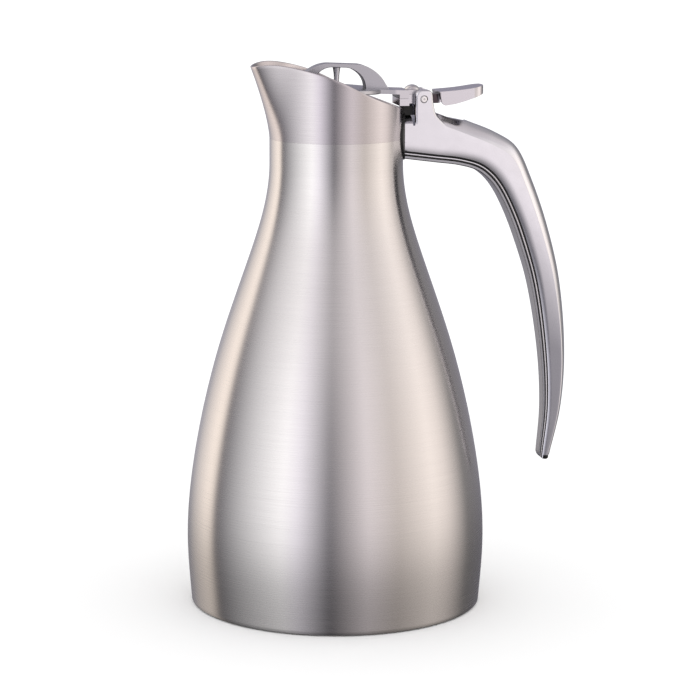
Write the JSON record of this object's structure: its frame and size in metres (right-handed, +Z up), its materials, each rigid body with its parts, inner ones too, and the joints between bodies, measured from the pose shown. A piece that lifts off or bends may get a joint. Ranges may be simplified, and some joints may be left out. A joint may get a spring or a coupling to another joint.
{
  "type": "thermal carafe",
  "caption": "Double-walled steel serving jug with a drawn-out pouring lip, an arched grip handle and a stopper lid flipped up by a thumb lever.",
  "frame": {"origin": "on the body's axis, in the plane that the foot ring stands on", "axes": "+Z up along the body's axis; +X towards the handle and the lid's hinge, -X towards the pouring lip; +Y completes the frame and the jug mirrors across the XZ plane"},
  "size_m": [0.1807, 0.14, 0.2542],
  "materials": {
    "shell_steel": "fine horizontal satin brushing",
    "collar_steel": "satin, a little duller than the body",
    "flask_steel": "bright drawn sheet",
    "base_steel": "satin sheet",
    "handle_steel": "satin-polished casting",
    "strip_steel": "satin sheet",
    "lid_steel": "satin-polished casting",
    "polished_steel": "polished",
    "black_rubber": "moulded, matte black",
    "silicone": "translucent grey silicone",
    "stopper_foam": "rigid foam",
    "getter_alloy": "sintered metal pellet"
  },
  "bodies": {
    "jug": {"outer_shell": "shell_steel", "inner_liner": "flask_steel", "flask_bottom": "flask_steel", "mouth_ring": "flask_steel", "base_plate": "base_steel", "tip_off_cover": "base_steel", "getter": "getter_alloy", "pouring_collar": "collar_steel", "neck_lug": "base_steel", "handle_pad": "black_rubber", "handle": "handle_steel", "handle_strip": "strip_steel", "handle_tip_plug": "black_rubber", "set_screw": "polished_steel", "hinge_pin": "polished_steel"},
    "lid": {"lid_bridge": "lid_steel", "thumb_lever": "lid_steel", "lever_screw": "polished_steel", "centre_post": "polished_steel", "stopper_stem": "flask_steel", "stopper_cup": "flask_steel", "stopper_cover": "flask_steel", "stopper_insulation": "stopper_foam", "lid_gasket": "silicone", "post_nut": "polished_steel"}
  },
  "joints": [
    {"name": "lid_flip", "type": "hinge", "parent": "jug", "child": "lid", "pos_m": [0.0396, 0, 0.2374], "axis": [0, 1, 0], "range_deg": [0, 22]}
  ]
}
